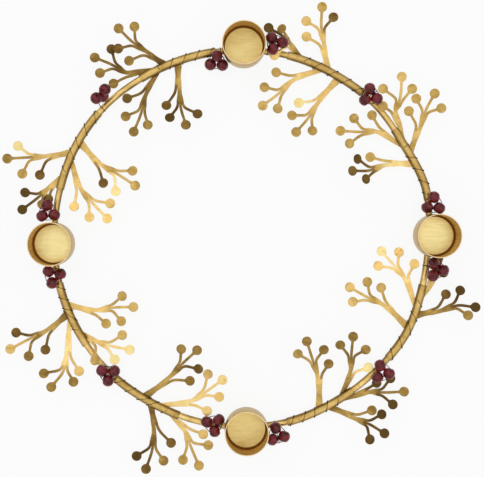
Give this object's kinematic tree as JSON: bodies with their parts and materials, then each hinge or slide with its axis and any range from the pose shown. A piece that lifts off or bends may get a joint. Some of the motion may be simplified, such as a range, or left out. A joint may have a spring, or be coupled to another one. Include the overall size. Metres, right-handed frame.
{
  "type": "candle ring",
  "caption": "Round brass candle ring: bent rod ring with straight-sided candle cups, stamped branching sprigs bound on with fine wire, and clusters of faceted dark red berries.",
  "frame": {"origin": "middle of the ring, on the surface that the ring stands on", "axes": "+Z up along the cups' bores, +X right and +Y up as seen from straight above"},
  "size_m": [0.2521, 0.2494, 0.0221],
  "materials": {
    "brass": "satin",
    "cup_brass": "satin",
    "sprig_brass": "satin",
    "braze": "matte",
    "dark_wire": "tarnished",
    "berry_glass": "gloss"
  },
  "bodies": {
    "root": {"ring_rod": "brass", "candle_cup_right": "cup_brass", "cup_seat_right": "braze", "candle_cup_top": "cup_brass", "cup_seat_top": "braze", "candle_cup_left": "cup_brass", "cup_seat_left": "braze", "candle_cup_bottom": "cup_brass", "cup_seat_bottom": "braze", "sprig_upper_left": "sprig_brass", "binding_wire_upper_left": "dark_wire", "sprig_left_upper": "sprig_brass", "binding_wire_left_upper": "dark_wire", "sprig_left_lower": "sprig_brass", "binding_wire_left_lower": "dark_wire", "sprig_lower_left": "sprig_brass", "binding_wire_lower_left": "dark_wire", "sprig_lower_right": "sprig_brass", "binding_wire_lower_right": "dark_wire", "sprig_right_lower": "sprig_brass", "binding_wire_right_lower": "dark_wire", "sprig_right_upper": "sprig_brass", "binding_wire_right_upper": "dark_wire", "sprig_upper_right": "sprig_brass", "binding_wire_upper_right": "dark_wire", "berries_right_above": "berry_glass", "berry_wire_right_above": "dark_wire", "berries_upper_right": "berry_glass", "berry_wire_upper_right": "dark_wire", "berries_top_right": "berry_glass", "berry_wire_top_right": "dark_wire", "berries_top_left": "berry_glass", "berry_wire_top_left": "dark_wire", "berries_upper_left": "berry_glass", "berry_wire_upper_left": "dark_wire", "berries_left_above": "berry_glass", "berry_wire_left_above": "dark_wire", "berries_left_below": "berry_glass", "berry_wire_left_below": "dark_wire", "berries_lower_left": "berry_glass", "berry_wire_lower_left": "dark_wire", "berries_bottom_left": "berry_glass", "berry_wire_bottom_left": "dark_wire", "berries_bottom_right": "berry_glass", "berry_wire_bottom_right": "dark_wire", "berries_lower_right": "berry_glass", "berry_wire_lower_right": "dark_wire", "berries_right_below": "berry_glass", "berry_wire_right_below": "dark_wire"}
  },
  "joints": []
}
